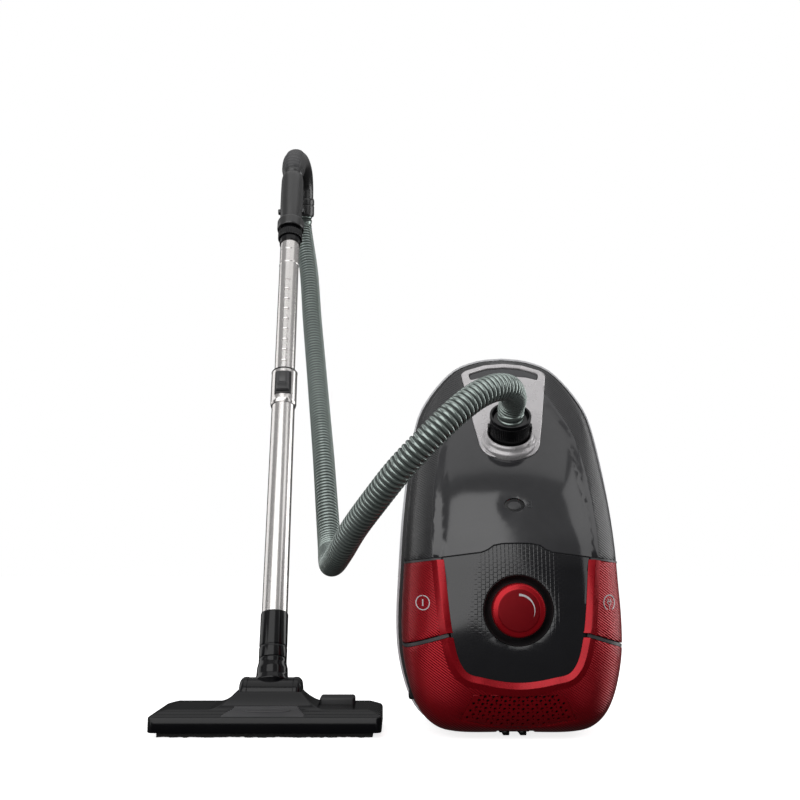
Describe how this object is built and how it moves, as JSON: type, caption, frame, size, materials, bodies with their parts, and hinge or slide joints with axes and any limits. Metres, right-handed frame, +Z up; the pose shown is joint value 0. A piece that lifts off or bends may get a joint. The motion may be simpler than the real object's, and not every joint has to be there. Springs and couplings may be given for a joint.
{
  "type": "bagged cylinder vacuum cleaner",
  "caption": "Cylinder vacuum cleaner parked upright on its rear end, with a ribbed hose to a telescopic metal wand standing on a wide floor head.",
  "frame": {"origin": "on the standing face at the canister's rear end, under the middle of its width", "axes": "+Z up from the floor the parked canister stands on, -Y out of its top cover, -X towards the wand"},
  "size_m": [0.5955, 0.7747, 0.9522],
  "materials": {
    "grey_plastic": "gloss, fine texture",
    "dark_plastic": "satin",
    "silver_plastic": "silver lacquer",
    "red_plastic": "metallic red",
    "pale_plastic": "satin",
    "black_plastic": "gloss",
    "rubber": "matte",
    "bristle": "bristle strip",
    "tube_metal": "brushed",
    "steel": "brushed",
    "copper": "wound copper and steel",
    "hose_plastic": "satin, ribbed",
    "paper": "fleece and card",
    "filter": "felt",
    "board": "circuit board"
  },
  "bodies": {
    "canister": {"centre_panel": "dark_plastic", "dial_dish": "dark_plastic", "divider_left": "dark_plastic", "divider_right": "dark_plastic", "bulkhead": "dark_plastic", "bag_holder": "dark_plastic", "handle_body": "dark_plastic", "red_shell": "red_plastic", "exhaust_grille": "red_plastic", "lower_shell": "pale_plastic", "seam_band": "black_plastic", "cord_outlet": "black_plastic", "handle_collar": "black_plastic", "stand_foot": "rubber", "motor_seal": "rubber", "handle_grip": "rubber", "upper_tube": "tube_metal", "motor_housing": "steel", "reel_axle": "steel", "rear_axle": "steel", "power_spring": "steel", "rewind_spring": "steel", "hose": "hose_plastic", "dust_bag": "paper", "bag_collar": "paper", "motor_filter": "filter", "exhaust_filter": "filter", "circuit_board": "board"},
    "lid": {"lid": "grey_plastic", "inlet_bezel": "silver_plastic", "inlet_socket": "black_plastic"},
    "hose_cuff": {"hose_cuff": "black_plastic"},
    "cuff_catch_left": {"cuff_catch_left": "black_plastic"},
    "cuff_catch_right": {"cuff_catch_right": "black_plastic"},
    "lid_latch": {"lid_latch": "grey_plastic"},
    "indicator_flag": {"indicator_flag": "red_plastic"},
    "power_button": {"power_button": "red_plastic"},
    "rewind_button": {"rewind_button": "red_plastic"},
    "reel_brake_lever": {"reel_brake_lever": "black_plastic"},
    "power_dial": {"power_dial": "red_plastic"},
    "motor_rotor": {"motor_rotor": "copper"},
    "cord_reel": {"cord_reel": "dark_plastic"},
    "wheel_left": {"wheel_left": "rubber"},
    "wheel_right": {"wheel_right": "rubber"},
    "caster_fork": {"caster_fork": "black_plastic"},
    "caster_wheel": {"caster_wheel": "rubber"},
    "lower_wand": {"lower_tube": "tube_metal", "telescope_collar": "tube_metal", "neck_socket": "black_plastic"},
    "telescope_button": {"telescope_button": "dark_plastic"},
    "neck_elbow": {"neck_elbow": "black_plastic"},
    "head": {"head_housing": "black_plastic", "sole_plate": "dark_plastic"},
    "brush_frame": {"brush_frame": "bristle"},
    "brush_pedal": {"brush_pedal": "dark_plastic"},
    "head_wheel_left": {"head_wheel_left": "rubber"},
    "head_wheel_right": {"head_wheel_right": "rubber"},
    "handle_nut": {"handle_nut": "black_plastic"},
    "airflow_ring": {"airflow_ring": "dark_plastic"},
    "hose_swivel": {"hose_swivel": "black_plastic"}
  },
  "joints": [
    {"name": "lid_hinge", "type": "hinge", "parent": "canister", "child": "lid", "pos_m": [0, -0.1215, 0.21], "axis": [1, 0, 0], "range_deg": [0, 70], "deforming": ["hose"]},
    {"name": "cuff_turn", "type": "hinge", "parent": "lid", "child": "hose_cuff", "pos_m": [0, -0.0396, 0.372], "axis": [0, -0.7071, 0.7071], "continuous": true},
    {"name": "catch_left_press", "type": "slide", "parent": "hose_cuff", "child": "cuff_catch_left", "axis": [1, 0, 0], "range_m": [0, 0.0015], "stiffness_N_per_m": 300},
    {"name": "catch_right_press", "type": "slide", "parent": "hose_cuff", "child": "cuff_catch_right", "axis": [-1, 0, 0], "range_m": [0, 0.0015], "stiffness_N_per_m": 300},
    {"name": "latch_press", "type": "slide", "parent": "lid", "child": "lid_latch", "axis": [0, 0.8323, -0.5543], "range_m": [0, 0.0012], "stiffness_N_per_m": 1500},
    {"name": "flag_lift", "type": "slide", "parent": "lid", "child": "indicator_flag", "axis": [0, 0, 1], "range_m": [0, 0.003], "stiffness_N_per_m": 8},
    {"name": "power_press", "type": "slide", "parent": "canister", "child": "power_button", "axis": [0.459, 0.8844, -0.0845], "range_m": [0, 0.004], "stiffness_N_per_m": 1200, "deforming": ["power_spring"]},
    {"name": "rewind_press", "type": "slide", "parent": "canister", "child": "rewind_button", "axis": [-0.459, 0.8844, -0.0845], "range_m": [0, 0.004], "stiffness_N_per_m": 1200, "deforming": ["rewind_spring"]},
    {"name": "brake_lift", "type": "hinge", "parent": "canister", "child": "reel_brake_lever", "pos_m": [0.062, -0.03, 0.172], "axis": [0, 1, 0], "range_deg": [0, 8.1]},
    {"name": "dial_turn", "type": "hinge", "parent": "canister", "child": "power_dial", "pos_m": [0, -0.1199, 0.156], "axis": [0, -1, -0.0052], "range_deg": [-45, 225]},
    {"name": "rotor_spin", "type": "hinge", "parent": "canister", "child": "motor_rotor", "pos_m": [-0.045, -0.005, 0.14], "axis": [0, 0, 1], "continuous": true},
    {"name": "reel_spin", "type": "hinge", "parent": "canister", "child": "cord_reel", "pos_m": [0.062, -0.03, 0.112], "axis": [0, 1, 0], "continuous": true},
    {"name": "wheel_left_spin", "type": "hinge", "parent": "canister", "child": "wheel_left", "pos_m": [-0.113, 0.062, 0.09], "axis": [1, 0, 0], "continuous": true},
    {"name": "wheel_right_spin", "type": "hinge", "parent": "canister", "child": "wheel_right", "pos_m": [0.113, 0.062, 0.09], "axis": [1, 0, 0], "continuous": true},
    {"name": "caster_swivel", "type": "hinge", "parent": "canister", "child": "caster_fork", "pos_m": [0, 0.085, 0.4], "axis": [0, 1, 0], "continuous": true},
    {"name": "caster_spin", "type": "hinge", "parent": "caster_fork", "child": "caster_wheel", "pos_m": [0, 0.097, 0.39], "axis": [1, 0, 0], "continuous": true},
    {"name": "wand_telescope", "type": "slide", "parent": "canister", "child": "lower_wand", "axis": [-0.0233, 0.4035, 0.9147], "range_m": [0, 0.16]},
    {"name": "telescope_press", "type": "slide", "parent": "lower_wand", "child": "telescope_button", "axis": [0.0233, -0.4035, -0.9147], "range_m": [0, 0.004], "stiffness_N_per_m": 400},
    {"name": "neck_swivel", "type": "hinge", "parent": "lower_wand", "child": "neck_elbow", "pos_m": [-0.3088, 0.016, 0.0373], "axis": [-0.0233, 0.4035, 0.9147], "range_deg": [-60, 20]},
    {"name": "head_pitch", "type": "hinge", "parent": "neck_elbow", "child": "head", "pos_m": [-0.3088, 0.016, 0.0373], "axis": [-1, 0, 0], "range_deg": [0, 40]},
    {"name": "pedal_rock", "type": "hinge", "parent": "head", "child": "brush_pedal", "pos_m": [-0.222, 0.015, 0.03], "axis": [1, 0, 0], "range_deg": [0, 8.1]},
    {"name": "brush_lift", "type": "slide", "parent": "head", "child": "brush_frame", "axis": [0, 0, 1], "range_m": [0, 0.004]},
    {"name": "head_wheel_left_spin", "type": "hinge", "parent": "head", "child": "head_wheel_left", "pos_m": [-0.4115, 0.033, 0.01], "axis": [1, 0, 0], "continuous": true},
    {"name": "head_wheel_right_spin", "type": "hinge", "parent": "head", "child": "head_wheel_right", "pos_m": [-0.2015, 0.033, 0.01], "axis": [1, 0, 0], "continuous": true},
    {"name": "nut_turn", "type": "hinge", "parent": "canister", "child": "handle_nut", "pos_m": [-0.3273, 0.336, 0.7626], "axis": [-0.0233, 0.4035, 0.9147], "range_deg": [0, 40]},
    {"name": "airflow_turn", "type": "hinge", "parent": "canister", "child": "airflow_ring", "pos_m": [-0.3278, 0.3449, 0.7828], "axis": [-0.0233, 0.4035, 0.9147], "range_deg": [0, 60]},
    {"name": "hose_swivel_turn", "type": "hinge", "parent": "canister", "child": "hose_swivel", "pos_m": [-0.32447, 0.53101, 0.88767], "axis": [-0.0235, 0.2456, -0.9691], "continuous": true}
  ],
  "couplings": [
    {"joint": "brake_lift", "follows": "rewind_press", "rad_per_m": 35},
    {"joint": "pedal_rock", "follows": "brush_lift", "rad_per_m": 35}
  ]
}
